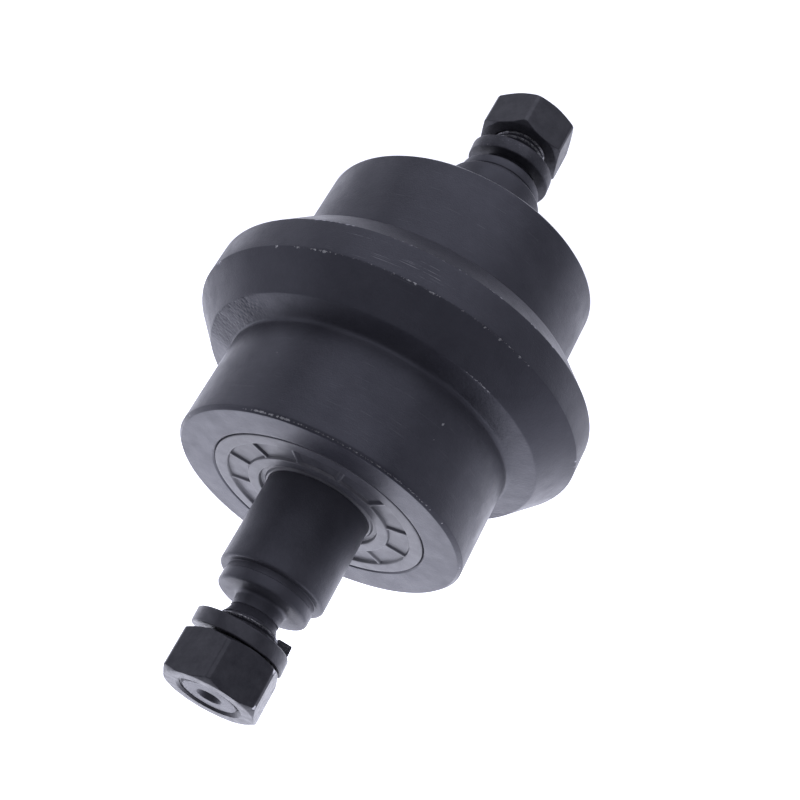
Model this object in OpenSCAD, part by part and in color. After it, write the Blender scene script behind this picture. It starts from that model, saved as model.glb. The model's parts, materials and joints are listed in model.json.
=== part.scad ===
// Flanged bottom track roller of a small excavator.
// A hub with one guide flange turns on two ball bearings about a fixed shaft.
// Each shaft end has a pilot for the track frame plate and a threaded end
// with a split lock washer and a hexagon nut.
// The roller axis is Y, Z is up and the origin is the middle of the shaft.
// The front end is the -Y end and the rear end is the +Y end.

/* [Roller shell] */
// Diameter of the hub that the track chain runs on
hub_d = 98; // [90:0.5:110]
// Length of the hub between its two end faces
hub_len = 105; // [95:1:120]
// Chamfer on the outer edge of each hub end face
hub_chamfer = 1.2; // [0.5:0.1:3]
// Diameter of the guide flange
flange_d = 134; // [120:1:150]
// Width of the flat rim of the guide flange
flange_rim = 11; // [6:0.5:20]
// Diameter at which the bevel of the flange ends and its wall begins
bevel_d = 116; // [105:1:125]
// Width of the flange across the feet of its two bevels
bevel_width = 31.8; // [26:0.2:36]
// Width of the flange where its walls meet the hub
flange_foot = 36.8; // [32:0.2:44]
// Radius of the fillet between flange wall and hub
foot_fillet = 1.5; // [0.5:0.1:3]

/* [Shaft] */
// Diameter of the shaft, which is also the bore of the bearings
shaft_d = 35; // [30:1:40]
// Length of the full-diameter shaft between its two shoulders
shaft_len = 165; // [140:1:200]
// Diameter of the pilot at each end, which centres the track frame plate
pilot_d = 30; // [26:0.5:34]
// Length of each pilot
pilot_len = 6; // [4:0.5:12]
// Diameter of the neck between pilot and thread
neck_d = 16; // [14:0.5:17]
// Length of each neck
neck_len = 7; // [4:0.5:12]
// Outer diameter of the thread
thread_d = 20; // [18:1:24]
// Length of each thread
thread_len = 24.5; // [20:0.5:40]
// Large diameter of the centre hole in each end of the shaft
centre_hole_d = 8.1; // [5:0.1:10]

/* [Bearings and seals] */
// Outer diameter of bearings and seals, which is also the shell bore
bearing_od = 72; // [62:1:80]
// Width of each bearing
bearing_w = 17; // [14:1:20]
// Distance between the two bearings
bearing_gap = 43.6; // [30:0.2:60]
// Diameter of the circle through the ball centres
pitch_d = 53.5; // [50:0.1:58]
// Diameter of the bearing balls
ball_d = 11.1; // [9:0.1:13]
// Number of balls in each bearing
ball_count = 9; // [7:1:10]
// Width of each shaft seal
seal_w = 10; // [7:0.5:12]
// Number of ribs moulded into the outer face of each seal
seal_ribs = 12; // [6:1:18]

/* [Nuts and lock washers] */
// Size of the nut across its flats
nut_af = 29.5; // [27:0.1:36]
// Height of the nut
nut_h = 14.9; // [14:0.1:20]
// Distance from the end of the front pilot to its nut
front_nut_gap = 17.1; // [13:0.1:20]
// Distance from the end of the rear pilot to its nut
rear_nut_gap = 16; // [13:0.1:20]
// Hole diameter of the lock washer
washer_id = 21; // [20.5:0.1:22]
// Width and height of the section of the lock washer
washer_section = 5; // [4:0.1:6]
// Distance along the axis between the two sprung-apart ends of the lock washer
washer_rise = 6; // [0:0.5:8]

/* [Hidden] */
$fn = 96;

// Places along the axis, counted outward from the middle of the roller
bearing_in = bearing_gap / 2;
bearing_mid = bearing_in + bearing_w / 2;
bearing_out = bearing_in + bearing_w;
seal_out = hub_len / 2 - 0.1;
seal_in = seal_out - seal_w;
shoulder = shaft_len / 2;
pilot_end = shoulder + pilot_len;
neck_end = pilot_end + neck_len;
stud_end = neck_end + thread_len;

// Radii that several pieces share
shaft_r = shaft_d / 2;
seat_r = bearing_od / 2;
pitch_r = pitch_d / 2;

// Shaft
shaft_edge = 1;
undercut_w = 2.1;
undercut_depth = 0.3;
thread_chamfer = 1.3;
centre_drill_r = 2;
centre_drill_depth = 9;

// Bearings
ring_chamfer = 1;
inner_ring_r = 23.45;
outer_ring_r = 30.1;
raceway_r = 5.75;
race_play = 0.05;
cage_inner_r = 24.3;
cage_outer_r = 29.2;
cage_sheet = 0.8;
pocket_play = 0.13;
rivet_r = 0.8;
rivet_head_r = 1.4;
rivet_head_h = 0.6;
spacer_play = 0.1;
spacer_r = 22;
cavity_r = 31;

// Retaining rings
groove_play = 0.15;
clip_play = 0.05;
lug_r = 2.6;
lug_hole_r = 1.25;
shaft_groove_r = 16.5;
shaft_clip_t = 1.5;
shaft_clip_r = 19.5;
shaft_clip_shift = 0.9;
shaft_lug_turn = 17;
shaft_clip_open = 9;
bore_groove_r = 37.5;
bore_clip_t = 2.5;
bore_clip_r = 32.6;
bore_clip_shift = 1.4;
bore_lug_turn = 11;
bore_clip_open = 6;

// Seals
seal_edge = 0.8;
seal_skin = 1.2;
seal_sheet = 1.5;
seal_rim_r = 31.6;
seal_panel_r = 24.2;
seal_collar_r = 20.5;
seal_panel_depth = 1;
seal_draft = 0.4;
seal_step = 1.2;
seal_rib_w = 1.5;
seal_rib_drop = 0.3;
seal_rib_bury = 0.4;
seal_rib_turn = 18.3;
dust_lip_drop = 0.4;
dust_lip_w = 0.4;
dust_lip_reach = 3;
lip_play = 0.05;
lip_root = 1.2;
lip_r = 21;
lip_edge = 45.4;
lip_flat = 0.2;
lip_half = 2;
lip_web = 0.8;
spring_r = 0.8;

// Nuts and lock washers
nut_bore_r = thread_d / 2 + 0.05;
nut_sink_r = 10.8;
nut_face_r = 14.7;
nut_corner_r = 16.7;
nut_chamfer = (nut_corner_r - nut_face_r) * tan(30);
front_nut_corner = 5;
rear_nut_corner = 4;
washer_open = 12;
washer_steps = 90;
front_washer_place = [-0.25, -100.2, -0.1];
front_washer_split = 116;
front_washer_lean = [162, 4.2];
rear_washer_place = [0.4, 95.25, 0.05];
rear_washer_split = 236;
rear_washer_lean = [157, 7.6];

// ---------- shared shapes ----------

// The same piece at the front end.
module front() {
    mirror([0, 1, 0]) children();
}

// Turns an outline of [radius, distance along the axis] about the roller axis.
module turned() {
    rotate([-90, 0, 0]) rotate_extrude() children();
}

// A flat shape seen along the axis, given a thickness between two places on it.
module plate(from, to) {
    translate([0, from, 0]) rotate([-90, 0, 0]) linear_extrude(to - from) children();
}

// A ring between two radii and two places along the axis.
module ring(inner, outer, from, to) {
    turned() translate([inner, from]) square([outer - inner, to - from]);
}

// Copies of a shape spaced evenly about the axis.
module around(count, start = 0) {
    for (i = [0 : count - 1]) rotate([0, start + i * 360 / count, 0]) children();
}

// The part of a square corner that a rounded edge takes away.
module edge_round(corner, r) {
    translate(corner - [r, r]) difference() {
        square(r + 1);
        circle(r);
    }
}

// The same half outline on the other side of the middle plane, in reverse order.
function mirrored(half) = [
    for (i = [len(half) - 1 : -1 : 0]) [half[i][0], -half[i][1]]
];

// ---------- shaft ----------

// Outline of one half of the shaft, from the bearing groove to the end face.
function shaft_half() = [
    [shaft_r, bearing_out],
    [shaft_groove_r, bearing_out],
    [shaft_groove_r, bearing_out + shaft_clip_t + groove_play],
    [shaft_r, bearing_out + shaft_clip_t + groove_play],
    [shaft_r, shoulder],
    [pilot_d / 2 - undercut_depth, shoulder],
    [pilot_d / 2 - undercut_depth, shoulder + undercut_w],
    [pilot_d / 2, shoulder + undercut_w],
    [pilot_d / 2, pilot_end],
    [neck_d / 2, pilot_end],
    [neck_d / 2, neck_end],
    [thread_d / 2 - thread_chamfer, neck_end],
    [thread_d / 2, neck_end + thread_chamfer],
    [thread_d / 2, stud_end - thread_chamfer],
    [thread_d / 2 - thread_chamfer, stud_end],
    [0, stud_end]
];

// Centre hole: a 60 degree cone that opens out of a small drilled hole.
module centre_hole() {
    cone_end = stud_end - (centre_hole_d / 2 - centre_drill_r) / tan(30);
    turned() polygon([
        [0, stud_end - centre_drill_depth - centre_drill_r * tan(30)],
        [centre_drill_r, stud_end - centre_drill_depth],
        [centre_drill_r, cone_end],
        [centre_hole_d / 2, stud_end],
        [centre_hole_d / 2, stud_end + 1],
        [0, stud_end + 1]
    ]);
}

module shaft() {
    color("dimgray") difference() {
        turned() difference() {
            polygon(concat(shaft_half(), mirrored(shaft_half())));
            for (side = [0, 1]) mirror([0, side]) {
                edge_round([shaft_r, shoulder], shaft_edge);
                edge_round([pilot_d / 2, pilot_end], shaft_edge);
            }
        }
        centre_hole();
        front() centre_hole();
    }
}

module spacer_tube() {
    color("silver") ring(shaft_r + spacer_play, spacer_r, -bearing_in, bearing_in);
}

// ---------- roller shell ----------

// Outline of one half of the shell, from the flange rim to the grease space.
function shell_half() = [
    [flange_d / 2, flange_rim / 2],
    [bevel_d / 2, bevel_width / 2],
    [hub_d / 2, flange_foot / 2],
    [hub_d / 2, hub_len / 2 - hub_chamfer],
    [hub_d / 2 - hub_chamfer, hub_len / 2],
    [seat_r + seal_edge, hub_len / 2],
    [seat_r, hub_len / 2 - seal_edge],
    [seat_r, bearing_out + bore_clip_t + groove_play],
    [bore_groove_r, bearing_out + bore_clip_t + groove_play],
    [bore_groove_r, bearing_out],
    [seat_r, bearing_out],
    [seat_r, bearing_in],
    [cavity_r, bearing_in]
];

// Fillet where a flange wall meets the hub.
module wall_fillet() {
    wall_angle = atan2(bevel_d / 2 - hub_d / 2, (flange_foot - bevel_width) / 2);
    reach = foot_fillet * tan(wall_angle / 2);
    foot = [hub_d / 2, flange_foot / 2];
    difference() {
        polygon([
            foot - [1, 1],
            foot + [0, reach],
            foot + reach * [sin(wall_angle), -cos(wall_angle)]
        ]);
        translate(foot + [foot_fillet, reach]) circle(foot_fillet);
    }
}

module roller_shell() {
    color("#2b2b2f") turned() {
        polygon(concat(shell_half(), mirrored(shell_half())));
        for (side = [0, 1]) mirror([0, side]) wall_fillet();
    }
}

// ---------- bearings ----------

// A square ring with chamfered edges: [inner radius, outer radius] and chamfers.
module bearing_blank(inner, outer, inner_chamfer, outer_chamfer) {
    polygon([
        [inner, bearing_in + inner_chamfer],
        [inner + inner_chamfer, bearing_in],
        [outer - outer_chamfer, bearing_in],
        [outer, bearing_in + outer_chamfer],
        [outer, bearing_out - outer_chamfer],
        [outer - outer_chamfer, bearing_out],
        [inner + inner_chamfer, bearing_out],
        [inner, bearing_out - inner_chamfer]
    ]);
}

// Both raceways are a little wider than the ball and leave it the race play.
raceway_shift = raceway_r - ball_d / 2 - race_play;

module outer_ring() {
    color("silver") turned() difference() {
        bearing_blank(outer_ring_r, seat_r, ring_chamfer / 4, ring_chamfer);
        translate([pitch_r - raceway_shift, bearing_mid]) circle(raceway_r);
    }
}

module inner_ring() {
    color("silver") turned() difference() {
        bearing_blank(shaft_r, inner_ring_r, ring_chamfer, ring_chamfer / 4);
        translate([pitch_r + raceway_shift, bearing_mid]) circle(raceway_r);
    }
}

module balls() {
    color("gainsboro") around(ball_count) translate([pitch_r, bearing_mid, 0]) sphere(d = ball_d);
}

// The outer half of the ribbon cage: a flat ring with a pocket at each ball.
module cage_half() {
    pocket_r = ball_d / 2 + pocket_play;
    difference() {
        intersection() {
            ring(cage_inner_r, cage_outer_r, bearing_mid, bearing_out);
            union() {
                ring(cage_inner_r - 1, cage_outer_r + 1, bearing_mid - 1, bearing_mid + cage_sheet);
                around(ball_count) translate([pitch_r, bearing_mid, 0]) sphere(pocket_r + cage_sheet);
            }
        }
        around(ball_count) translate([pitch_r, bearing_mid, 0]) sphere(pocket_r);
        rivet_shanks(1);
    }
}

module cage_outer_half() {
    color("peru") cage_half();
}

module cage_inner_half() {
    color("peru") translate([0, 2 * bearing_mid, 0]) mirror([0, 1, 0]) cage_half();
}

// The rivet shanks, made longer by a margin at each end.
module rivet_shanks(margin) {
    reach = cage_sheet + margin;
    around(ball_count, 180 / ball_count) translate([pitch_r, bearing_mid - reach, 0])
        rotate([-90, 0, 0]) cylinder(r = rivet_r, h = 2 * reach);
}

module cage_rivets() {
    color("silver") {
        rivet_shanks(rivet_head_h);
        around(ball_count, 180 / ball_count) for (side = [0, 1]) {
            translate([pitch_r, bearing_mid, 0]) mirror([0, side, 0])
                translate([0, cage_sheet, 0]) rotate([-90, 0, 0])
                    cylinder(r = rivet_head_r, h = rivet_head_h);
        }
    }
}

// ---------- retaining rings ----------

// A wedge that opens a retaining ring between its lugs.
module clip_opening(half_angle, reach) {
    side = reach * sin(half_angle);
    ahead = reach * cos(half_angle);
    polygon([[0, 0], [side, ahead], [-side, ahead]]);
}

// A pair of round shapes where the two lugs of a retaining ring are.
module at_lugs(turn, place_r) {
    for (side = [-1, 1]) rotate(side * turn) translate([0, place_r]) children();
}

module shaft_circlip() {
    lug_place = shaft_groove_r + lug_r + clip_play;
    color("dimgray") plate(bearing_out, bearing_out + shaft_clip_t) difference() {
        union() {
            translate([0, -shaft_clip_shift]) circle(shaft_clip_r);
            at_lugs(shaft_lug_turn, lug_place) circle(lug_r);
        }
        circle(shaft_groove_r + clip_play);
        at_lugs(shaft_lug_turn, lug_place) circle(lug_hole_r);
        clip_opening(shaft_clip_open, 2 * shaft_clip_r);
    }
}

module bore_circlip() {
    lug_place = bore_groove_r - lug_r - clip_play;
    color("dimgray") plate(bearing_out, bearing_out + bore_clip_t) difference() {
        circle(bore_groove_r - clip_play);
        difference() {
            translate([0, bore_clip_shift]) circle(bore_clip_r);
            at_lugs(bore_lug_turn, lug_place) circle(2 * lug_r);
        }
        at_lugs(bore_lug_turn, lug_place) circle(lug_hole_r);
        clip_opening(bore_clip_open, 2 * bore_groove_r);
    }
}

// ---------- seals ----------

// Where the steel sheet of the case lies inside the rubber.
case_r = seat_r - seal_skin;
case_out = seal_out - seal_panel_depth - 1;
case_in = case_out - seal_sheet;
case_inner_r = seal_collar_r + 2;

module seal_case() {
    color("silver") turned() polygon([
        [case_inner_r, case_in],
        [case_inner_r, case_out],
        [case_r, case_out],
        [case_r, seal_in],
        [case_r - seal_sheet, seal_in],
        [case_r - seal_sheet, case_in]
    ]);
}

// Section of the moulded rubber: rim, panel and collar on the outer face,
// then the dust lip, the main lip with its spring seat, and the outer skin.
module seal_section() {
    touch_r = shaft_r + lip_play;
    polygon([
        [seat_r, seal_in + seal_edge],
        [seat_r, seal_out],
        [seal_rim_r, seal_out],
        [seal_rim_r - seal_draft, seal_out - seal_panel_depth],
        [seal_panel_r + seal_draft, seal_out - seal_panel_depth],
        [seal_panel_r, seal_out],
        [seal_collar_r, seal_out],
        [seal_collar_r - seal_draft, seal_out - seal_step],
        [touch_r + lip_root, seal_out - seal_step],
        [touch_r + lip_root / 2, seal_out - dust_lip_drop],
        [touch_r, seal_out - dust_lip_drop],
        [touch_r, seal_out - dust_lip_drop - dust_lip_w],
        [touch_r + lip_root, seal_out - dust_lip_reach],
        [touch_r + lip_root, lip_edge + lip_half],
        [touch_r, lip_edge + lip_flat],
        [touch_r, lip_edge - lip_flat],
        [touch_r + lip_root, lip_edge - lip_half],
        [lip_r, lip_edge - lip_half],
        [lip_r, lip_edge + lip_half - lip_web],
        [lip_r - lip_web, lip_edge + lip_half],
        [lip_r - lip_web, case_in - lip_web / 2],
        [lip_r, case_in],
        [case_inner_r, case_in],
        [case_inner_r, case_out],
        [case_r, case_out],
        [case_r, seal_in]
    ]);
}

module seal_rubber() {
    rib_from = case_out + seal_rib_bury;
    rib_to = seal_out - seal_rib_drop;
    rib_len = seal_rim_r - seal_panel_r + 2 * seal_rib_bury;
    color("#3a3a3c") {
        turned() difference() {
            seal_section();
            translate([lip_r + spring_r / 2, lip_edge]) circle(spring_r + lip_play);
        }
        around(seal_ribs, seal_rib_turn)
            translate([-seal_rib_w / 2, rib_from, seal_panel_r - seal_rib_bury])
                cube([seal_rib_w, rib_to - rib_from, rib_len]);
    }
}

module garter_spring() {
    color("silver") turned() translate([lip_r + spring_r / 2, lip_edge]) circle(spring_r);
}

// ---------- nuts and lock washers ----------

// A chamfered hexagon nut at a distance from the rear pilot; one corner is turned from +Z.
module hex_nut(gap, corner) {
    from = pilot_end + gap;
    to = from + nut_h;
    sink = nut_sink_r - nut_bore_r;
    color("#3c3c40") difference() {
        intersection() {
            rotate([0, corner - 90, 0]) plate(from, to) circle(nut_af / 2 / cos(30), $fn = 6);
            turned() polygon([
                [0, from],
                [nut_face_r, from],
                [nut_corner_r, from + nut_chamfer],
                [nut_corner_r, to - nut_chamfer],
                [nut_face_r, to],
                [0, to]
            ]);
        }
        turned() polygon([
            [0, from - 1],
            [nut_sink_r, from - 1],
            [nut_sink_r, from],
            [nut_bore_r, from + sink],
            [nut_bore_r, to - sink],
            [nut_sink_r, to],
            [nut_sink_r, to + 1],
            [0, to + 1]
        ]);
    }
}

// A left-hand turn of square bar, open at +Z: the unloaded spring washer.
module spring_turn() {
    half = washer_section / 2;
    radii = [washer_id / 2, washer_id / 2 + washer_section];
    section = [[radii[0], -half], [radii[1], -half], [radii[1], half], [radii[0], half]];
    function station(i) = washer_open / 2 + (360 - washer_open) * i / washer_steps;
    function level(i) = washer_rise * (0.5 - i / washer_steps);
    points = [
        for (i = [0 : washer_steps], p = section)
            [p[0] * sin(station(i)), p[1] + level(i), p[0] * cos(station(i))]
    ];
    sides = [
        for (i = [0 : washer_steps - 1], k = [0 : 3])
            let (a = 4 * i + k, b = 4 * i + (k + 1) % 4)
            each [[a, b, b + 4], [a, b + 4, a + 4]]
    ];
    last = 4 * washer_steps;
    polyhedron(points, concat([[0, 3, 2, 1]], sides, [[last, last + 1, last + 2, last + 3]]));
}

// Places a washer with its split at an angle from +Z, leaning at one side toward +Y.
module lock_washer(place, split, lean) {
    color("#55555a") translate(place)
        rotate([0, lean[0], 0]) rotate([-lean[1], 0, 0]) rotate([0, split - lean[0], 0]) spring_turn();
}

// ---------- assembly ----------

shaft();
roller_shell();
spacer_tube();
front() outer_ring();  // front_outer_ring
outer_ring();  // rear_outer_ring
front() inner_ring();  // front_inner_ring
inner_ring();  // rear_inner_ring
front() balls();  // front_balls
balls();  // rear_balls
front() cage_outer_half();  // front_cage_outer_half
cage_outer_half();  // rear_cage_outer_half
front() cage_inner_half();  // front_cage_inner_half
cage_inner_half();  // rear_cage_inner_half
front() cage_rivets();  // front_cage_rivets
cage_rivets();  // rear_cage_rivets
front() shaft_circlip();  // front_shaft_circlip
shaft_circlip();  // rear_shaft_circlip
front() bore_circlip();  // front_bore_circlip
bore_circlip();  // rear_bore_circlip
front() seal_case();  // front_seal_case
seal_case();  // rear_seal_case
front() seal_rubber();  // front_seal_rubber
seal_rubber();  // rear_seal_rubber
front() garter_spring();  // front_garter_spring
garter_spring();  // rear_garter_spring
lock_washer(front_washer_place, front_washer_split, front_washer_lean);  // front_lock_washer
lock_washer(rear_washer_place, rear_washer_split, rear_washer_lean);  // rear_lock_washer
front() hex_nut(front_nut_gap, front_nut_corner);  // front_hex_nut
hex_nut(rear_nut_gap, rear_nut_corner);  // rear_hex_nut
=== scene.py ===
import json
import math

import bpy
import numpy as np
from mathutils import Matrix, Vector, noise


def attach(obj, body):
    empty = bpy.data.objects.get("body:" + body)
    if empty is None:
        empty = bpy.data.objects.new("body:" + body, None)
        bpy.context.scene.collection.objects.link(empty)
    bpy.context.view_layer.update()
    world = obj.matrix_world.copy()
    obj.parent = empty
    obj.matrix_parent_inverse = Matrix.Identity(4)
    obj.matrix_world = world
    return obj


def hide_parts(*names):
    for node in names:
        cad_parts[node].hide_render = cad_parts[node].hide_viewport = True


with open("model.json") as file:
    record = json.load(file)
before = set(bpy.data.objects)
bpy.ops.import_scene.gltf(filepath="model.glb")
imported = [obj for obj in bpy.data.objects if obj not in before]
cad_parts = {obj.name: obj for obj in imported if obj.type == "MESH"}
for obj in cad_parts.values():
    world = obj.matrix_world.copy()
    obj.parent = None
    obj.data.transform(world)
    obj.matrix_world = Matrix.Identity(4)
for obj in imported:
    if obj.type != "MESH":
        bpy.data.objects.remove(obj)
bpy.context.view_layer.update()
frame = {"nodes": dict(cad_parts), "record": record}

# All sizes below are in millimetres and are scaled to metres when a mesh is made.
# A turn is measured about the roller axis from +Z toward +X, in degrees.
MM = 0.001
FULL = 2 * math.pi

# Roller shell
HUB_R = 49.0
HUB_END = 52.5
HUB_CHAMFER = 1.2
FLANGE_R = 67.0
RIM_HALF = 5.5
BEVEL_R = 58.0
BEVEL_HALF = 15.9
FOOT_HALF = 18.4
FOOT_FILLET = 1.5
SEAT_R = 36.0
SEAT_EDGE = 0.8
GROOVE_R = 37.5
CAVITY_R = 31.0
BEARING_IN = 21.8
BEARING_OUT = 38.8
BORE_GROOVE_W = 2.65
CAST_RELIEF = 0.10
CAST_LUMPS = (2.4, 0.9)
SMOOTH_SHARE = 0.12
SHELL_STEP = 1.2
SHELL_COLUMNS = 720
PITTED_TURNS = ((-80, -42), (120, 190))

# Wear on both sides of the shell: chips between two turns, and their size across
RIM_CHIPS = (
    {"first": -32, "last": 54, "count": 46, "size": 0.42},
    {"first": -22, "last": -8, "count": 9, "size": 0.75},
    {"first": 54, "last": 330, "count": 60, "size": 0.40},
)
RIDGE_CHIPS = (
    {"first": -26, "last": -11, "count": 16, "size": 0.45},
    {"first": -6, "last": 49, "count": 18, "size": 0.42},
    {"first": 60, "last": 330, "count": 34, "size": 0.5},
)
# Nicks on the near tread: place along the axis, turn, length, width and depth
TREAD_NICKS = (
    {"y": -28.7, "turn": 39.3, "length": 0.6, "width": 0.45, "depth": 0.10},
    {"y": -35.0, "turn": 38.8, "length": 0.5, "width": 0.4, "depth": 0.08},
    {"y": -31.0, "turn": -26.2, "length": 0.45, "width": 0.4, "depth": 0.06},
)

# Shaft
SHAFT_COLUMNS = 288
SHAFT_STEP = 1.5
SHAFT_R = 17.5
CLIP_GROOVE_R = 16.5
CLIP_GROOVE_W = 1.65
SHOULDER = 82.5
UNDERCUT_R = 14.7
UNDERCUT_W = 2.1
PILOT_R = 15.0
PILOT_END = 88.5
NECK_R = 8.0
NECK_END = 95.5
STUD_END = 120.0
THREAD_R = 10.0
THREAD_ROOT_R = 8.75
THREAD_PITCH = 2.0
THREAD_CHAMFER = 1.3
THREAD_ROW = 0.125
THREAD_FLAT = 0.14
CENTRE_HOLE_R = 4.05
CENTRE_DRILL_R = 2.0
CENTRE_DRILL_DEPTH = 9.0

# Seals
SEAL_COLUMNS = 720
SEAL_ROW = 0.8
SEAL_FACE = 1.0
SEAL_OUT = 52.4
SEAL_IN = 42.4
SEAL_RIM_R = 31.6
SEAL_PANEL_R = 24.2
SEAL_COLLAR_R = 20.5
SEAL_PANEL_DEPTH = 1.0
SEAL_DRAFT = 0.4
SEAL_STEP = 1.2
SEAL_SKIN = 1.2
SEAL_SHEET = 1.5
SEAL_RIBS = 12
SEAL_RIB_HALF = 0.75
SEAL_RIB_FILLET = 0.5
SEAL_RIB_DROP = 0.3
SEAL_RIB_TURN = 18.3
DUST_LIP_DROP = 0.4
DUST_LIP_W = 0.4
DUST_LIP_REACH = 3.0
LIP_R = 17.55
LIP_ROOT = 1.2
LIP_FLAT = 0.2
LIP_HALF = 2.0
LIP_WEB = 0.8
LIP_EDGE = 45.4
LIP_BACK_R = 21.0
SPRING_R = 0.8
SPRING_WIRE_R = 0.22
SPRING_COILS = 280
SPRING_STEPS = 8
SPRING_SIDES = 6

# Nuts and lock washers
NUT_HALF_AF = 14.75
NUT_H = 14.9
NUT_FACE_R = 14.7
NUT_CORNER_R = 16.7
NUT_SINK_R = 10.8
NUT_THREAD_PLAY = 0.12
NUT_EDGE = 0.3
NUT_COLUMNS = 360
FRONT_NUT = {"start": -120.5, "corner": 5, "chipped": 65}
REAR_NUT = {"start": 104.5, "corner": 4, "chipped": 124}
WASHER_R = 10.5
WASHER_SECTION = 5.0
WASHER_EDGE = 0.55
WASHER_RISE = 6.0
WASHER_OPEN = 12
WASHER_STATIONS = 181
FRONT_WASHER = {"place": (-0.25, -100.2, -0.1), "split": 116, "lean": (162, 4.2), "bare": 0.2}
REAR_WASHER = {"place": (0.4, 95.25, 0.05), "split": 236, "lean": (157, 7.6), "bare": 0.42}


# ---------- meshes ----------


def turn_point(r, y, angle):
    """Points at a radius, a place along the axis and a turn in radians."""
    return np.stack([r * np.sin(angle), y, r * np.cos(angle)], axis=-1)


def volume(points, faces):
    """Six times the signed volume inside a closed mesh."""
    total = 0.0
    for size in {len(face) for face in faces}:
        corners = points[np.array([face for face in faces if len(face) == size])]
        for k in range(1, size - 1):
            total += (np.cross(corners[:, k], corners[:, k + 1]) * corners[:, 0]).sum()
    return total


def make_object(name, points, faces, material, smooth_angle=32, marks=None):
    """A closed mesh in metres, facing outward, with marks stored as point attributes."""
    points = np.asarray(points, dtype=float)
    if volume(points, faces) < 0:
        faces = [face[::-1] for face in faces]
    mesh = bpy.data.meshes.new(name)
    mesh.from_pydata((points * MM).tolist(), [], faces)
    mesh.update()
    mesh.shade_smooth()
    mesh.set_sharp_from_angle(angle=math.radians(smooth_angle))
    for mark, values in (marks or {}).items():
        layer = mesh.attributes.new(mark, "FLOAT", "POINT")
        layer.data.foreach_set("value", np.asarray(values, dtype=np.float32).ravel())
    mesh.materials.append(material)
    obj = bpy.data.objects.new(name, mesh)
    bpy.context.scene.collection.objects.link(obj)
    return obj


def grid_faces(rows, columns, closed):
    """Quads of a grid whose columns wrap round, and whose rows wrap too if it is closed."""
    i, j = np.meshgrid(np.arange(rows if closed else rows - 1), np.arange(columns), indexing="ij")
    below = (i + 1) % rows
    beside = (j + 1) % columns
    quads = [i * columns + j, i * columns + beside, below * columns + beside, below * columns + j]
    return np.stack(quads, axis=-1).reshape(-1, 4).tolist()


def grid_object(name, radius, place, material, smooth_angle=32, marks=None, closed=True):
    """A body about the axis from radii and places on rows of an outline and columns of turn.

    An outline that isn't closed ends on the axis, with a point of its own at each end.
    """
    rows, columns = radius.shape
    angle = np.arange(columns) / columns * FULL
    points = turn_point(radius, place, angle[None, :]).reshape(-1, 3)
    faces = grid_faces(rows, columns, closed)
    if not closed:
        first = len(points)
        last = first + 1
        ends = [[0, place[0].mean(), 0], [0, place[-1].mean(), 0]]
        points = np.concatenate([points, ends])
        tail = (rows - 1) * columns
        for j in range(columns):
            beside = (j + 1) % columns
            faces.append([first, beside, j])
            faces.append([last, tail + j, tail + beside])
        marks = {mark: np.append(values.ravel(), [0, 0]) for mark, values in (marks or {}).items()}
    return make_object(name, points, faces, material, smooth_angle, marks)


def rounded(corners, arc_steps=4):
    """A closed outline of (r, y, edge radius) corners with its edges rounded."""
    points = []
    for k, (r, y, radius) in enumerate(corners):
        here = np.array([r, y])
        if radius == 0:
            points.append(here)
            continue
        before = np.array(corners[k - 1][:2]) - here
        after = np.array(corners[(k + 1) % len(corners)][:2]) - here
        before /= np.linalg.norm(before)
        after /= np.linalg.norm(after)
        half = math.acos(np.clip(before @ after, -1, 1)) / 2
        start = here + before * radius / math.tan(half)
        end = here + after * radius / math.tan(half)
        middle = before + after
        centre = here + middle / np.linalg.norm(middle) * radius / math.sin(half)
        for t in np.linspace(0, 1, arc_steps + 1):
            chord = start + t * (end - start) - centre
            points.append(centre + chord / np.linalg.norm(chord) * radius)
    return np.array(points)


def divided(outline, longest):
    """The same closed outline with no side longer than a length."""
    points = []
    for here, after in zip(outline, np.roll(outline, -1, axis=0)):
        parts = max(1, math.ceil(np.linalg.norm(after - here) / longest))
        for t in np.arange(parts) / parts:
            points.append(here + t * (after - here))
    return np.array(points)


def mirrored(half):
    """Half an outline and its mirror image, as one closed outline."""
    return [*half, *[(r, -y, radius) for r, y, radius in reversed(half)]]


def spread(outline, columns):
    """An outline repeated in every column of turn, as radii and places."""
    radius = np.repeat(outline[:, :1], columns, axis=1)
    place = np.repeat(outline[:, 1:], columns, axis=1)
    return radius, place


def smooth_step(x):
    """0 below 0, 1 above 1 and an S between."""
    x = np.clip(x, 0, 1)
    return x * x * (3 - 2 * x)


def rough_field(radius, place, size, seed):
    """A smooth random height from -1 to 1 at each grid point, with lumps of a size."""
    columns = radius.shape[1]
    angle = np.arange(columns) / columns * FULL
    points = turn_point(radius, place, angle[None, :]).reshape(-1, 3) / size + seed
    heights = [noise.noise(Vector(point)) for point in points]
    return np.array(heights).reshape(radius.shape)


def thread_wave(y, angle):
    """0 at the root and 1 at the crest of a right-hand thread."""
    phase = np.mod(y / THREAD_PITCH - angle / FULL, 1.0)
    slope = 1 - 2 * np.abs(phase - 0.5)
    return np.clip((slope - THREAD_FLAT) / (1 - 2 * THREAD_FLAT), 0, 1)


# ---------- materials ----------


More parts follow.
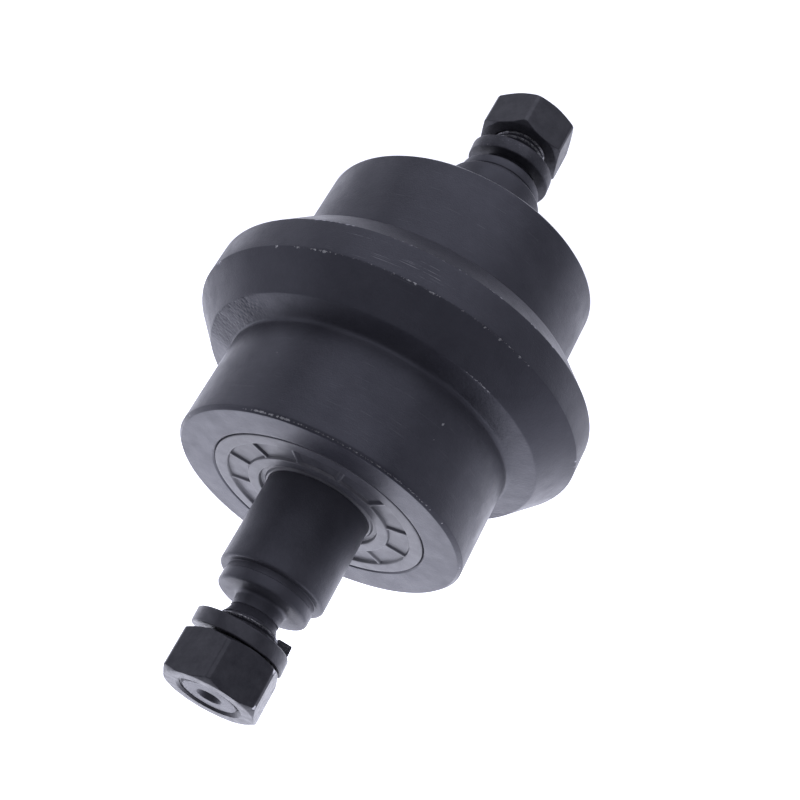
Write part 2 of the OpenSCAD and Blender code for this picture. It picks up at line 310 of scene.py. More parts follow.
class Nodes:
    """A node tree under construction, with short ways to add its nodes."""

    def __init__(self, tree, coordinates):
        self.nodes = tree.nodes
        self.links = tree.links
        self.place = self.nodes.new("ShaderNodeTexCoord").outputs[coordinates]

    def add(self, kind, inputs=None, **settings):
        node = self.nodes.new(kind)
        for key, value in settings.items():
            setattr(node, key, value)
        for key, value in (inputs or {}).items():
            if isinstance(value, bpy.types.NodeSocket):
                self.links.new(value, node.inputs[key])
            else:
                node.inputs[key].default_value = value
        return node

    def math(self, operation, first, second, clamp=False):
        node = self.add("ShaderNodeMath", {0: first, 1: second}, operation=operation, use_clamp=clamp)
        return node.outputs["Value"]

    def fade(self, value, low, high, to_low=0.0, to_high=1.0):
        inputs = {
            "Value": value,
            "From Min": low,
            "From Max": high,
            "To Min": to_low,
            "To Max": to_high,
        }
        return self.add("ShaderNodeMapRange", inputs).outputs["Result"]


class Finish(Nodes):
    """A material built on the principled shader."""

    def __init__(self, name):
        self.material = bpy.data.materials.new(name)
        self.material.use_nodes = True
        super().__init__(self.material.node_tree, "Object")
        self.shader = self.nodes["Principled BSDF"]

    def noise(self, per_metre, detail=3.0, rough=0.55, place=None, stretch=None):
        vector = place or self.place
        if stretch:
            mapping = self.add("ShaderNodeMapping", {"Vector": vector, "Scale": stretch})
            vector = mapping.outputs["Vector"]
        inputs = {"Vector": vector, "Scale": per_metre, "Detail": detail, "Roughness": rough}
        return self.add("ShaderNodeTexNoise", inputs).outputs["Fac"]

    def cells(self, per_metre):
        inputs = {"Vector": self.place, "Scale": per_metre}
        return self.add("ShaderNodeTexVoronoi", inputs).outputs["Distance"]

    def rings(self):
        """Distance from the axis, place along it and turn, so that noise runs round the axis."""
        xyz = self.add("ShaderNodeSeparateXYZ", {"Vector": self.place}).outputs
        flat = self.add("ShaderNodeCombineXYZ", {"X": xyz["X"], "Z": xyz["Z"]}).outputs["Vector"]
        radius = self.add("ShaderNodeVectorMath", {0: flat}, operation="LENGTH").outputs["Value"]
        turn = self.math("ARCTAN2", xyz["X"], xyz["Z"])
        arc = self.math("MULTIPLY", turn, 0.05)
        inputs = {"X": radius, "Y": xyz["Y"], "Z": arc}
        return self.add("ShaderNodeCombineXYZ", inputs).outputs["Vector"]

    def mark(self, name):
        return self.add("ShaderNodeAttribute", attribute_name=name).outputs["Fac"]

    def ramp(self, value, stops):
        node = self.add("ShaderNodeValToRGB", {"Fac": value})
        elements = node.color_ramp.elements
        while len(elements) < len(stops):
            elements.new(0.5)
        for element, (position, colour) in zip(elements, stops):
            element.position = position
            element.color = (*colour, 1)
        return node.outputs["Color"]

    def blend(self, factor, first, second):
        node = self.add("ShaderNodeMix", data_type="RGBA")
        for socket, value in (("Factor_Float", factor), ("A_Color", first), ("B_Color", second)):
            target = next(item for item in node.inputs if item.identifier == socket)
            if isinstance(value, bpy.types.NodeSocket):
                self.links.new(value, target)
            else:
                target.default_value = (*value, 1)
        return next(item for item in node.outputs if item.identifier == "Result_Color")

    def bump(self, height, millimetres, strength=1.0, normal=None):
        inputs = {"Height": height, "Distance": millimetres * MM, "Strength": strength}
        if normal:
            inputs["Normal"] = normal
        return self.add("ShaderNodeBump", inputs).outputs["Normal"]

    def finish(self, colour=None, metallic=None, roughness=None, normal=None):
        values = {"Base Color": colour, "Metallic": metallic, "Roughness": roughness, "Normal": normal}
        for key, value in values.items():
            if isinstance(value, bpy.types.NodeSocket):
                self.links.new(value, self.shader.inputs[key])
            elif value is not None:
                self.shader.inputs[key].default_value = value
        return self.material


def painted(name, dark, light, gloss=0.36):
    """Satin paint on steel: orange peel, cast skin, dust, scuffs, and bare metal where worn."""
    f = Finish(name)
    rings = f.rings()
    patches = f.noise(70, detail=5, rough=0.6)
    film = f.ramp(patches, [(0.32, dark), (0.68, light)])
    dust = f.math("MULTIPLY", f.mark("dust"), f.noise(160, detail=6, rough=0.7), clamp=True)
    film = f.blend(dust, film, (0.16, 0.16, 0.17))

    scratch = f.noise(1.0, detail=2, rough=0.4, place=rings, stretch=(2600, 2600, 55))
    scratch = f.fade(scratch, 0.62, 0.74)
    broken = f.fade(f.noise(240, detail=4, rough=0.6), 0.45, 0.6)
    scuff = f.math("MULTIPLY", f.math("MULTIPLY", scratch, broken), f.mark("scuff"), clamp=True)
    film = f.blend(scuff, film, (0.20, 0.20, 0.21))

    ragged = f.math("ADD", f.mark("wear"), f.fade(f.noise(1900, detail=6, rough=0.75), 0, 1, -0.8, 0.8))
    bare = f.fade(ragged, 0.50, 0.62)
    steel = f.ramp(f.noise(1500, detail=3), [(0.3, BARE_DARK), (0.7, BARE_LIGHT)])
    colour = f.blend(bare, film, steel)

    cast = f.mark("cast")
    pits = f.fade(f.cells(800), 0.0, 0.7)
    grain = f.noise(1100, detail=5, rough=0.65)
    skin = f.math("MULTIPLY", f.math("ADD", pits, grain), cast)
    peel = f.noise(950, detail=3, rough=0.5)
    turned = f.noise(1.0, detail=2, rough=0.5, place=rings, stretch=(2200, 2200, 6))
    normal = f.bump(peel, 0.035)
    normal = f.bump(turned, 0.012, normal=normal)
    normal = f.bump(skin, 0.18, normal=normal)
    normal = f.bump(ragged, 0.05, 0.6, normal=normal)

    gloss_low = f.fade(f.noise(130, detail=5, rough=0.65), 0.3, 0.7, gloss - 0.05, gloss + 0.09)
    roughness = f.math("ADD", gloss_low, f.math("MULTIPLY", cast, 0.12), clamp=True)
    f.shader.inputs["Specular Tint"].default_value = COOL_SHEEN
    return f.finish(colour, bare, roughness, normal)


def oxide(name, dark, light, low, high):
    """Black oxide on forged or rolled steel, rubbed thin on its edges."""
    f = Finish(name)
    film = f.ramp(f.noise(220, detail=6, rough=0.65), [(0.3, dark), (0.7, light)])
    ragged = f.math("ADD", f.mark("wear"), f.fade(f.noise(1400, detail=5, rough=0.7), 0, 1, -0.4, 0.4))
    bare = f.fade(ragged, 0.5, 0.75)
    colour = f.blend(bare, film, (0.42, 0.42, 0.44))
    roughness = f.fade(f.noise(380, detail=5, rough=0.6), 0.3, 0.7, low, high)
    normal = f.bump(f.noise(1700, detail=4, rough=0.6), 0.03)
    normal = f.bump(f.noise(260, detail=3, rough=0.5), 0.10, normal=normal)
    metallic = f.fade(ragged, 0.3, 0.7, 0.35, 1.0)
    return f.finish(colour, metallic, roughness, normal)


def rubber(name):
    """Moulded rubber with a faint bloom and a fine matt mould finish."""
    f = Finish(name)
    bloom = f.noise(120, detail=6, rough=0.65)
    colour = f.ramp(bloom, [(0.3, (0.050, 0.050, 0.060)), (0.7, (0.085, 0.085, 0.10))])
    colour = f.blend(f.fade(f.noise(2600, detail=2), 0.66, 0.74), colour, (0.16, 0.16, 0.17))
    roughness = f.fade(f.noise(300, detail=5), 0.3, 0.7, 0.30, 0.42)
    normal = f.bump(f.noise(2400, detail=3, rough=0.6), 0.025)
    return f.finish(colour, None, roughness, normal)


def machined(name, dark, light, low, high, groove_mm=0.01):
    """Bare steel with turning or grinding lines that run round the axis."""
    f = Finish(name)
    rings = f.rings()
    lines = f.noise(1.0, detail=3, rough=0.6, place=rings, stretch=(3500, 3500, 8))
    stain = f.noise(180, detail=5, rough=0.65)
    colour = f.blend(f.fade(stain, 0.45, 0.7), f.ramp(lines, [(0.3, dark), (0.7, light)]), dark)
    roughness = f.fade(f.math("ADD", lines, stain), 0.7, 1.3, low, high)
    normal = f.bump(lines, groove_mm)
    return f.finish(colour, 1.0, roughness, normal)


def sheet(name, dark, light, low, high):
    """Pressed sheet or wire with a fine rolled or phosphated grain."""
    f = Finish(name)
    grain = f.noise(2200, detail=4, rough=0.6)
    cloud = f.noise(260, detail=5, rough=0.6)
    colour = f.ramp(f.math("MULTIPLY", f.math("ADD", grain, cloud), 0.5), [(0.35, dark), (0.65, light)])
    roughness = f.fade(cloud, 0.3, 0.7, low, high)
    return f.finish(colour, 1.0, roughness, f.bump(grain, 0.02))


COOL_SHEEN = (0.86, 0.87, 1.0, 1)
BARE_DARK = (0.24, 0.24, 0.25)
BARE_LIGHT = (0.50, 0.50, 0.51)

SHELL_PAINT = painted("shell_paint", (0.020, 0.020, 0.027), (0.034, 0.034, 0.043))
SHAFT_PAINT = painted("shaft_paint", (0.022, 0.022, 0.028), (0.040, 0.040, 0.048), 0.40)
NUT_OXIDE = oxide("nut_oxide", (0.030, 0.030, 0.038), (0.055, 0.055, 0.064), 0.30, 0.45)
WASHER_OXIDE = oxide("washer_oxide", (0.030, 0.030, 0.038), (0.056, 0.056, 0.066), 0.32, 0.48)
SEAL_RUBBER = rubber("seal_rubber")
BARE_FINISHES = {
    "bearing_steel": machined("bearing_steel", (0.50, 0.50, 0.51), (0.66, 0.66, 0.66), 0.12, 0.26),
    "ball_steel": machined("ball_steel", (0.66, 0.66, 0.67), (0.76, 0.76, 0.76), 0.04, 0.10, 0.002),
    "cage_sheet": sheet("cage_sheet", (0.38, 0.37, 0.35), (0.55, 0.54, 0.51), 0.30, 0.45),
    "spring_steel": sheet("spring_steel", (0.08, 0.08, 0.09), (0.16, 0.16, 0.17), 0.38, 0.55),
    "seal_sheet": sheet("seal_sheet", (0.38, 0.38, 0.39), (0.52, 0.52, 0.52), 0.28, 0.42),
}


# ---------- wear ----------


class Wear:
    """Chips and rubbed places on a turned grid, as dents and as marks for the paint."""

    def __init__(self, radius, place, seed):
        self.radius = radius
        self.place = place
        self.turn = np.arange(radius.shape[1]) / radius.shape[1] * 360
        self.random = np.random.default_rng(seed)
        self.marks = {name: np.zeros(radius.shape) for name in ("wear", "scuff", "dust", "cast")}

    def away(self, turn):
        """Degrees from a turn, for every column."""
        return np.abs((self.turn - turn + 180) % 360 - 180)

    def near(self, ring, turn, length, width):
        """1 at a place on a ring (r, y), falling to 0 at a length along it and a width across."""
        along = self.away(turn) * math.pi / 180 * ring[0] / length
        across = np.hypot(self.radius - ring[0], self.place - ring[1]) / width
        return np.exp(-2 * (along[None, :] ** 2 + across**2))

    def chip(self, ring, turn, length, width, depth, inward):
        """A dent at a ring, pushed toward (r, y), with bare metal in it."""
        amount = self.near(ring, turn, length, width)
        self.radius += inward[0] * depth * amount
        self.place += inward[1] * depth * amount
        self.marks["wear"] = np.maximum(self.marks["wear"], 0.95 * np.clip(1.5 * amount, 0, 1))

    def chips(self, ring, inward, first, last, count, size):
        """Random chips spread between two turns."""
        for turn in self.random.uniform(first, last, count):
            length = size * self.random.uniform(0.6, 2.2)
            width = size * self.random.uniform(0.4, 0.9)
            self.chip(ring, turn, length, width, 0.2 * size, inward)

    def rub(self, mark, ring, first, last, width, amount):
        """A mark along a ring between two turns, fading at both ends."""
        middle = (first + last) / 2
        half = (last - first) / 2
        along = smooth_step((half - self.away(middle)) / 6 + 0.5)
        across = np.exp(-2 * (np.hypot(self.radius - ring[0], self.place - ring[1]) / width) ** 2)
        self.marks[mark] = np.maximum(self.marks[mark], amount * along[None, :] * across)

    def band(self, mark, inside, first, last, amount):
        """A mark over a part of the surface between two turns."""
        middle = (first + last) / 2
        half = (last - first) / 2
        along = smooth_step((half - self.away(middle)) / 14 + 0.5)
        self.marks[mark] = np.maximum(self.marks[mark], amount * along[None, :] * inside)


# ---------- pieces ----------


def shell_outline():
    """Closed outline of the shell, from rim to grease space on both sides."""
    half = [
        (FLANGE_R, RIM_HALF, 0.5),
        (BEVEL_R, BEVEL_HALF, 1.0),
        (HUB_R, FOOT_HALF, FOOT_FILLET),
        (HUB_R, HUB_END - HUB_CHAMFER, 0.35),
        (HUB_R - HUB_CHAMFER, HUB_END, 0.35),
        (SEAT_R + SEAT_EDGE, HUB_END, 0.15),
        (SEAT_R, HUB_END - SEAT_EDGE, 0.15),
        (SEAT_R, BEARING_OUT + BORE_GROOVE_W, 0),
        (GROOVE_R, BEARING_OUT + BORE_GROOVE_W, 0),
        (GROOVE_R, BEARING_OUT, 0),
        (SEAT_R, BEARING_OUT, 0),
        (SEAT_R, BEARING_IN, 0),
        (CAVITY_R, BEARING_IN, 0),
    ]
    return divided(rounded(mirrored(half)), SHELL_STEP)


def make_shell():
    """Painted shell with cast flange walls and worn, chipped edges."""
    radius, place = spread(shell_outline(), SHELL_COLUMNS)
    outside = radius > HUB_R - 0.5
    wall = outside & (radius > HUB_R + 0.4) & (radius < BEVEL_R - 0.2)
    coarse, fine = CAST_LUMPS
    lumps = rough_field(radius, place, coarse, 3.0) + 0.5 * rough_field(radius, place, fine, 9.0)
    worn = Wear(radius, place, seed=4)
    worn.marks["cast"] = np.where(wall, SMOOTH_SHARE, 0.0)
    for first, last in PITTED_TURNS:
        worn.band("cast", wall, first, last, amount=1.0)
    place += CAST_RELIEF * worn.marks["cast"] * lumps

    for side in (-1, 1):
        rim = (HUB_R - 0.4, side * (HUB_END - 0.6))
        for chips in RIM_CHIPS:
            worn.chips(rim, (-0.7, -0.7 * side), **chips)
        worn.rub("wear", rim, first=-28, last=50, width=0.7, amount=0.60)
        ridge = (FLANGE_R - 0.2, side * RIM_HALF)
        for chips in RIDGE_CHIPS:
            worn.chips(ridge, (-0.8, -0.5 * side), **chips)
        worn.rub("wear", ridge, first=-28, last=48, width=0.55, amount=0.48)
        edge = (BEVEL_R, side * BEVEL_HALF)
        worn.rub("wear", edge, first=31, last=45, width=0.6, amount=0.55)
        worn.rub("wear", edge, first=-10, last=30, width=0.5, amount=0.22)
    for nick in TREAD_NICKS:
        ring = (HUB_R, nick["y"])
        worn.chip(ring, nick["turn"], nick["length"], nick["width"], nick["depth"], (-1, 0))
    worn.rub("scuff", (FLANGE_R, 0.0), first=-16, last=17, width=6.0, amount=1.0)
    tread = outside & (radius < HUB_R + 0.4)
    worn.band("scuff", tread, first=-40, last=70, amount=0.14)
    worn.band("dust", outside, first=-35, last=60, amount=0.10)

    shell = grid_object("shell_body", radius, place, SHELL_PAINT, marks=worn.marks)
    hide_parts("roller_shell")
    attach(shell, "roller")


def stud_radius(y, angle):
    """Radius of the threaded end of the shaft, with its chamfered tip and start."""
    thread = THREAD_ROOT_R + (THREAD_R - THREAD_ROOT_R) * thread_wave(y, angle)
    place = np.abs(y)
    tip = THREAD_R - THREAD_CHAMFER + (STUD_END - place)
    start = THREAD_R - THREAD_CHAMFER + (place - NECK_END)
    return np.minimum(thread, np.minimum(tip, start))


def shaft_half():
    """Rows (r, y) from the bearing groove to the bottom of the centre hole.

    A row on the threaded stretch has no radius, because that changes with the turn.
    """
    body = rounded([
        (0, BEARING_OUT, 0),
        (CLIP_GROOVE_R, BEARING_OUT, 0),
        (CLIP_GROOVE_R, BEARING_OUT + CLIP_GROOVE_W, 0),
        (SHAFT_R, BEARING_OUT + CLIP_GROOVE_W, 0),
        (SHAFT_R, SHOULDER, 1.0),
        (UNDERCUT_R, SHOULDER, 0.2),
        (UNDERCUT_R, SHOULDER + UNDERCUT_W, 0.2),
        (PILOT_R, SHOULDER + UNDERCUT_W, 0.15),
        (PILOT_R, PILOT_END, 1.0),
        (NECK_R, PILOT_END, 1.2),
        (NECK_R, NECK_END, 0.2),
    ])[1:]
    cone_end = STUD_END - (CENTRE_HOLE_R - CENTRE_DRILL_R) / math.tan(math.radians(30))
    rows = [(SHAFT_R, 0.0), (SHAFT_R, BEARING_OUT)]
    for here, after in zip(body[:-1], body[1:]):
        parts = max(1, math.ceil(np.linalg.norm(after - here) / SHAFT_STEP))
        rows.extend(tuple(here + t * (after - here)) for t in np.arange(parts) / parts)
    rows.append(tuple(body[-1]))
    rows.extend((None, y) for y in np.arange(NECK_END, STUD_END + 0.01, THREAD_ROW))
    rows.extend([
        (CENTRE_HOLE_R + 0.2, STUD_END),
        (CENTRE_HOLE_R, STUD_END - 0.15),
        (CENTRE_DRILL_R, cone_end),
        (CENTRE_DRILL_R, STUD_END - CENTRE_DRILL_DEPTH),
        (CENTRE_DRILL_R / 2, STUD_END - CENTRE_DRILL_DEPTH - CENTRE_DRILL_R / 4),
    ])
    return rows


def make_shaft():
    """Painted shaft with a right-hand thread and a centre hole at each end."""
    columns = SHAFT_COLUMNS
    angle = np.arange(columns) / columns * FULL
    half = shaft_half()
    rows = [(r, -y) for r, y in reversed(half[1:])] + half
    place = np.repeat(np.array([y for _, y in rows])[:, None], columns, axis=1)
    radius = np.array([
        stud_radius(np.full(columns, y), angle) if r is None else np.full(columns, r)
        for r, y in rows
    ])
    worn = Wear(radius, place, seed=11)
    for side in (-1, 1):
        shoulder = (SHAFT_R - 0.3, side * (SHOULDER - 0.3))
        pilot = (PILOT_R - 0.3, side * (PILOT_END - 0.3))
        worn.rub("wear", shoulder, first=-40, last=60, width=0.5, amount=0.20)
        worn.rub("wear", pilot, first=-40, last=70, width=0.5, amount=0.24)
    crest = (np.abs(place) > NECK_END) & (radius > THREAD_R - 0.6)
    worn.marks["wear"] = np.where(crest, 0.60, worn.marks["wear"])
    worn.marks["dust"][:] = 0.08
    faces_end = (np.abs(place) > STUD_END - 0.3) & (radius > CENTRE_HOLE_R)
    worn.marks["dust"] = np.where(faces_end, 0.5, worn.marks["dust"])
    shaft = grid_object("shaft_body", radius, place, SHAFT_PAINT, marks=worn.marks, closed=False)
    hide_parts("shaft")
    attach(shaft, "fixed_shaft")


def make_seal(side, name):
    """Moulded seal: rim, ribbed panel, collar, dust lip, and main lip with its spring seat."""
    case_r = SEAT_R - SEAL_SKIN
    case_out = SEAL_OUT - SEAL_PANEL_DEPTH - SEAL_FACE
    case_in = case_out - SEAL_SHEET
    floor = SEAL_OUT - SEAL_PANEL_DEPTH
    outline = divided(rounded([
        (SEAT_R, SEAL_IN + SEAT_EDGE, 0),
        (SEAT_R, SEAL_OUT, 0.4),
        (SEAL_RIM_R, SEAL_OUT, 0.35),
        (SEAL_RIM_R - SEAL_DRAFT, floor, 0.3),
        (SEAL_PANEL_R + SEAL_DRAFT, floor, 0.3),
        (SEAL_PANEL_R, SEAL_OUT, 0.35),
        (SEAL_COLLAR_R, SEAL_OUT, 0.35),
        (SEAL_COLLAR_R - SEAL_DRAFT, SEAL_OUT - SEAL_STEP, 0.2),
        (LIP_R + LIP_ROOT, SEAL_OUT - SEAL_STEP, 0.2),
        (LIP_R + LIP_ROOT / 2, SEAL_OUT - DUST_LIP_DROP, 0.1),
        (LIP_R, SEAL_OUT - DUST_LIP_DROP, 0.1),
        (LIP_R, SEAL_OUT - DUST_LIP_DROP - DUST_LIP_W, 0.1),
        (LIP_R + LIP_ROOT, SEAL_OUT - DUST_LIP_REACH, 0.3),
        (LIP_R + LIP_ROOT, LIP_EDGE + LIP_HALF, 0.2),
        (LIP_R, LIP_EDGE + LIP_FLAT, 0.05),
        (LIP_R, LIP_EDGE - LIP_FLAT, 0.05),
        (LIP_R + LIP_ROOT, LIP_EDGE - LIP_HALF, 0.2),
        (LIP_BACK_R, LIP_EDGE - LIP_HALF, 0.3),
        (LIP_BACK_R, LIP_EDGE - SPRING_R - 0.1, 0),
        (LIP_BACK_R - 0.5, LIP_EDGE, 0.3),
        (LIP_BACK_R, LIP_EDGE + SPRING_R + 0.1, 0),
        (LIP_BACK_R - LIP_WEB, LIP_EDGE + LIP_HALF, 0.2),
        (LIP_BACK_R - LIP_WEB, case_in - LIP_WEB / 2, 0.2),
        (LIP_BACK_R, case_in, 0),
        (SEAL_COLLAR_R + 2, case_in, 0),
        (SEAL_COLLAR_R + 2, case_out, 0),
        (case_r, case_out, 0),
        (case_r, SEAL_IN, 0),
    ]), SEAL_ROW)
    radius, place = spread(outline, SEAL_COLUMNS)
    turn = np.arange(SEAL_COLUMNS) / SEAL_COLUMNS * 360
    step = 360 / SEAL_RIBS
    away = np.abs((turn - SEAL_RIB_TURN + step / 2) % step - step / 2)
    from_middle = np.radians(away)[None, :] * radius
    rib = smooth_step((SEAL_RIB_HALF + SEAL_RIB_FILLET - from_middle) / (2 * SEAL_RIB_FILLET))
    on_panel = (radius > SEAL_PANEL_R - 0.1) & (radius < SEAL_RIM_R + 0.1) & (place > floor - 0.01)
    top = SEAL_OUT - SEAL_RIB_DROP
    place += np.where(on_panel & (place < top), rib * (top - place), 0)
    marks = {"dust": np.full(radius.shape, 0.1)}
    seal = grid_object(name + "_body", radius, side * place, SEAL_RUBBER, marks=marks)
    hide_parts(name)
    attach(seal, "roller")


def make_garter_spring(side, name):
    """A wire wound in close coils round the back of the lip."""
    count = SPRING_COILS * SPRING_STEPS
    turn = np.arange(count) / count * FULL
    winding = turn * SPRING_COILS
    middle_r = LIP_BACK_R + SPRING_R / 2
    coil = SPRING_R - SPRING_WIRE_R
    wire_r = middle_r + coil * np.cos(winding)
    wire_y = side * (LIP_EDGE + coil * np.sin(winding))
    line = turn_point(wire_r, wire_y, turn)
    ahead = np.roll(line, -1, axis=0) - np.roll(line, 1, axis=0)
    ahead /= np.linalg.norm(ahead, axis=1, keepdims=True)
    outward = line - turn_point(np.full(count, middle_r), np.full(count, side * LIP_EDGE), turn)
    outward -= (outward * ahead).sum(axis=1, keepdims=True) * ahead
    outward /= np.linalg.norm(outward, axis=1, keepdims=True)
    across = np.cross(ahead, outward)
    spin = np.arange(SPRING_SIDES) / SPRING_SIDES * FULL
    round_wire = outward[:, None] * np.cos(spin)[:, None] + across[:, None] * np.sin(spin)[:, None]
    points = (line[:, None] + SPRING_WIRE_R * round_wire).reshape(-1, 3)
    faces = grid_faces(count, SPRING_SIDES, closed=True)
    spring = make_object(name + "_coil", points, faces, BARE_FINISHES["spring_steel"], 80)
    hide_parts(name)
    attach(spring, "roller")


def make_nut(name, body, start, corner, chipped):
    """A chamfered hexagon nut whose thread fits the shaft's."""
    columns = NUT_COLUMNS
    angle = np.arange(columns) / columns * FULL
    end = start + NUT_H
    side = (np.degrees(angle) - corner) % 60 - 30
    hexagon = np.minimum(NUT_HALF_AF / np.cos(np.radians(side)), NUT_CORNER_R)
    slope = math.tan(math.radians(30))
    halfway = (NUT_FACE_R + hexagon) / 2
    cone_in = np.minimum(NUT_FACE_R + NUT_EDGE, halfway)
    cone_out = np.maximum(hexagon - NUT_EDGE, halfway)
    edge = (hexagon - NUT_FACE_R) * slope
    ones = np.ones(columns)
    # Outside rows as (radius, distance in from the face), from the bore to a flat.
    outside = [
        (NUT_SINK_R * ones, 0 * ones),
        (NUT_SINK_R + 0.1 + 0 * ones, 0 * ones),
        (12.7 * ones, 0 * ones),
        ((NUT_FACE_R - NUT_EDGE) * ones, 0 * ones),
        (NUT_FACE_R * ones, 0.03 * ones),
        (cone_in, (cone_in - NUT_FACE_R) * slope + 0.01),
        (halfway, (halfway - NUT_FACE_R) * slope),
        (cone_out, (cone_out - NUT_FACE_R) * slope),
        (hexagon - 0.05, edge + 0.02),
        (hexagon, edge + NUT_EDGE / 2),
        (hexagon, edge + NUT_EDGE),
        (hexagon, 3.5 * ones),
    ]
    rows = [(r, start + depth) for r, depth in outside]
    rows += [(hexagon, (start + reach) * ones) for reach in np.linspace(5, NUT_H - 5, 6)]
    rows += [(r, end - depth) for r, depth in reversed(outside)]
    for y in np.arange(end - THREAD_ROW, start + 0.01, -THREAD_ROW):
        thread = THREAD_ROOT_R + (THREAD_R - THREAD_ROOT_R) * thread_wave(y * ones, angle)
        sink = max(NUT_SINK_R - (y - start), NUT_SINK_R - (end - y))
        rows.append((np.maximum(thread + NUT_THREAD_PLAY, sink), y * ones))
    radius = np.array([row[0] for row in rows])
    place = np.array([row[1] for row in rows])

    worn = Wear(radius, place, seed=int(abs(start)))
    near_corner = smooth_step((hexagon - 16.2) / 0.5)[None, :]
    depth = np.minimum(place - start, end - place)
    rim = np.exp(-2 * ((depth - edge[None, :]) / 0.5) ** 2) * (radius > NUT_FACE_R - 1)
    worn.marks["wear"] = np.maximum(0.34 * rim, 0.05 * near_corner * (radius > NUT_FACE_R))
    worn.marks["wear"] = np.where((depth < 0.2) & (radius > NUT_SINK_R), 0.38, worn.marks["wear"])
    for y, inward in ((start + 1.2, 0.6), (end - 1.2, -0.6)):
        worn.chip((NUT_CORNER_R, y), chipped, 0.9, 0.7, 0.2, (-0.8, inward))
    nut = grid_object(name + "_body", radius, place, NUT_OXIDE, marks=worn.marks)
    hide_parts(name)
    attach(nut, body)


def make_washer(name, body, place, split, lean, bare):
    """A left-hand turn of square bar with rounded edges, open at its split."""
    half = WASHER_SECTION / 2
    section = rounded([
        (WASHER_R, -half, WASHER_EDGE),
        (WASHER_R + WASHER_SECTION, -half, WASHER_EDGE),
        (WASHER_R + WASHER_SECTION, half, WASHER_EDGE),
        (WASHER_R, half, WASHER_EDGE),
    ])
    stations = WASHER_STATIONS
    share = np.linspace(0, 1, stations)
    turn = np.radians(WASHER_OPEN / 2 + (360 - WASHER_OPEN) * share)[:, None]
    level = WASHER_RISE * (0.5 - share)[:, None]
    count = len(section)
    along = np.repeat(turn, count, axis=1)
    points = turn_point(section[:, 0] + 0 * along, section[:, 1] + level, along)
    toward_lean = Matrix.Rotation(math.radians(lean[0]), 3, "Y")
    tilt = Matrix.Rotation(math.radians(-lean[1]), 3, "X")
    toward_split = Matrix.Rotation(math.radians(split - lean[0]), 3, "Y")
    placing = np.array(toward_lean @ tilt @ toward_split)
    points = points.reshape(-1, 3) @ placing.T + np.array(place)
    faces = grid_faces(stations, count, closed=False)
    tail = (stations - 1) * count
    faces.append(list(range(count))[::-1])
    faces.append([tail + k for k in range(count)])
    ends = np.exp(-((np.minimum(share, 1 - share) * stations / 2) ** 2))
    worn = np.repeat(bare + 0.3 * ends[:, None], count, axis=1)
    washer = make_object(name + "_body", points, faces, WASHER_OXIDE, marks={"wear": worn})
    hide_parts(name)
    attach(washer, body)


def finish_carried_nodes():
    """Give every CAD node that is still shown the finish of its material slot."""
    slots = {part["node"]: part["material_slot"] for part in frame["record"]["subparts"]}
    for name, obj in frame["nodes"].items():
        if slots.get(name) in BARE_FINISHES:
            obj.data.materials.clear()
            obj.data.materials.append(BARE_FINISHES[slots[name]])


make_shell()
make_shaft()
for side, end in ((-1, "front"), (1, "rear")):
    make_seal(side, end + "_seal_rubber")
    make_garter_spring(side, end + "_garter_spring")
make_nut("front_hex_nut", "front_nut", **FRONT_NUT)
make_nut("rear_hex_nut", "rear_nut", **REAR_NUT)
make_washer("front_lock_washer", "front_washer", **FRONT_WASHER)
make_washer("rear_lock_washer", "rear_washer", **REAR_WASHER)
finish_carried_nodes()


# ---------- studio ----------

# Camera: where it looks from, its lens, and its place along its own axes
CAMERA_AZIMUTH = 25.70
CAMERA_ELEVATION = 59.55
CAMERA_LENS = 64.28
CAMERA_RIGHT = 2.97
CAMERA_UP = -7.83
CAMERA_BACK = 465.75
LIGHT_TINT = (0.90, 0.91, 1.04, 1)
# Floor glow in metres: the bright middle, where it has faded, and where the floor goes dark
GLOW_PLACE = (-0.02, -0.08)
GLOW_EDGE = (0.08, 0.18)
GLOW_MIDDLE = 2.25
GLOW_FLOOR = 1.06
FLOOR_EDGE = (0.42, 0.62)
# Sky: radiance all round and overhead, then panels as azimuth, sines of lowest and highest
# elevation, and radiance
FILL = 0.10
OVERHEAD = 0.62
SKY_PANELS = (
    (90, 0.40, 0.80, 1.40),
    (-90, 0.40, 0.80, 0.28),
    (180, 0.0, 0.40, 1.00),
    (0, 0.0, 0.40, 0.40),
)
# Cosines between which the side edges of a panel fade
PANEL_FADE = (0.60, 0.80)


def make_camera():
    """A camera at the photo's angle and distance, aimed past the middle of the roller."""
    azimuth = math.radians(CAMERA_AZIMUTH)
    elevation = math.radians(CAMERA_ELEVATION)
    right = Vector((math.cos(azimuth), math.sin(azimuth), 0))
    level = math.cos(elevation)
    back = Vector((math.sin(azimuth) * level, -math.cos(azimuth) * level, math.sin(elevation)))
    up = back.cross(right)
    camera = bpy.data.cameras.new("camera")
    camera.lens = CAMERA_LENS
    camera.sensor_width = 36.0
    camera.clip_start = 0.01
    camera.clip_end = 20
    obj = bpy.data.objects.new("camera", camera)
    obj.matrix_world = Matrix((right, up, back)).transposed().to_4x4()
    obj.location = (CAMERA_RIGHT * right + CAMERA_UP * up + CAMERA_BACK * back) * MM
    bpy.context.scene.collection.objects.link(obj)
    bpy.context.scene.camera = obj


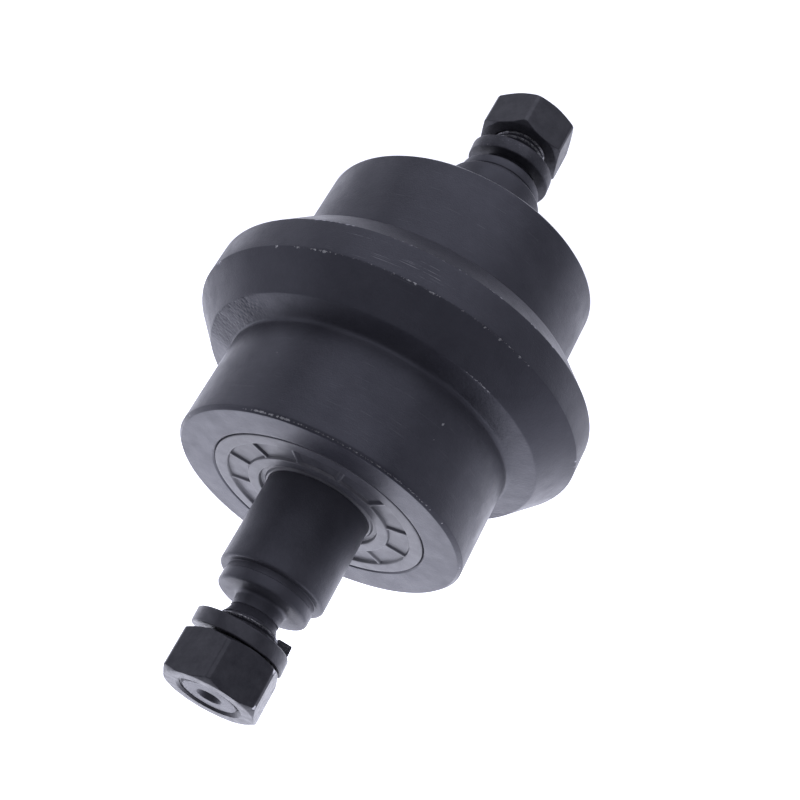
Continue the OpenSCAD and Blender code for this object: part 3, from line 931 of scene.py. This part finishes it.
def make_floor():
    """A plain pale floor that glows like a lit backdrop, most in front of the part."""
    size = 6.0
    low = -(FLANGE_R + 0.5) * MM
    mesh = bpy.data.meshes.new("floor")
    corners = [(-size, -size, low), (size, -size, low), (size, size, low), (-size, size, low)]
    mesh.from_pydata(corners, [], [(0, 1, 2, 3)])
    floor = bpy.data.objects.new("floor", mesh)
    bpy.context.scene.collection.objects.link(floor)
    f = Finish("floor_white")
    colour = f.ramp(f.noise(3, detail=2), [(0.3, (0.40, 0.40, 0.43)), (0.7, (0.42, 0.42, 0.45))])
    middle = {0: f.place, 1: (*GLOW_PLACE, low)}
    away = f.add("ShaderNodeVectorMath", middle, operation="DISTANCE").outputs["Value"]
    glow = f.fade(away, *GLOW_EDGE, GLOW_MIDDLE, GLOW_FLOOR)
    fall = f.fade(away, *FLOOR_EDGE, 1.0, 0.0)
    f.links.new(f.math("MULTIPLY", glow, fall), f.shader.inputs["Emission Strength"])
    f.shader.inputs["Emission Color"].default_value = LIGHT_TINT
    floor.data.materials.append(f.finish(colour, None, 0.9))


def make_sky():
    """Soft light panels on a dark studio: each is a part of the sky with faded edges."""
    world = bpy.data.worlds.new("studio")
    bpy.context.scene.world = world
    world.use_nodes = True
    sky = Nodes(world.node_tree, "Generated")
    xyz = sky.add("ShaderNodeSeparateXYZ", {"Vector": sky.place}).outputs
    flat = sky.add("ShaderNodeVectorMath", {0: sky.place, 1: (1, 1, 0)}, operation="MULTIPLY").outputs[0]
    level = sky.add("ShaderNodeVectorMath", {0: flat}, operation="NORMALIZE").outputs["Vector"]
    strength = sky.fade(xyz["Z"], 0.72, 0.86, FILL, FILL + OVERHEAD)
    for azimuth, lowest, highest, radiance in SKY_PANELS:
        toward = (math.cos(math.radians(azimuth)), math.sin(math.radians(azimuth)), 0)
        facing = sky.add("ShaderNodeVectorMath", {0: level, 1: toward}, operation="DOT_PRODUCT")
        across = sky.fade(facing.outputs["Value"], PANEL_FADE[0], PANEL_FADE[1])
        above = sky.fade(xyz["Z"], lowest - 0.08, lowest + 0.04)
        below = sky.fade(xyz["Z"], highest - 0.04, highest + 0.08, radiance, 0.0)
        panel = sky.math("MULTIPLY", sky.math("MULTIPLY", across, above), below)
        strength = sky.math("ADD", strength, panel)
    background = sky.nodes["Background"]
    background.inputs["Color"].default_value = LIGHT_TINT
    sky.links.new(strength, background.inputs["Strength"])


make_camera()
make_floor()
make_sky()
bpy.context.scene.view_settings.view_transform = "Standard"
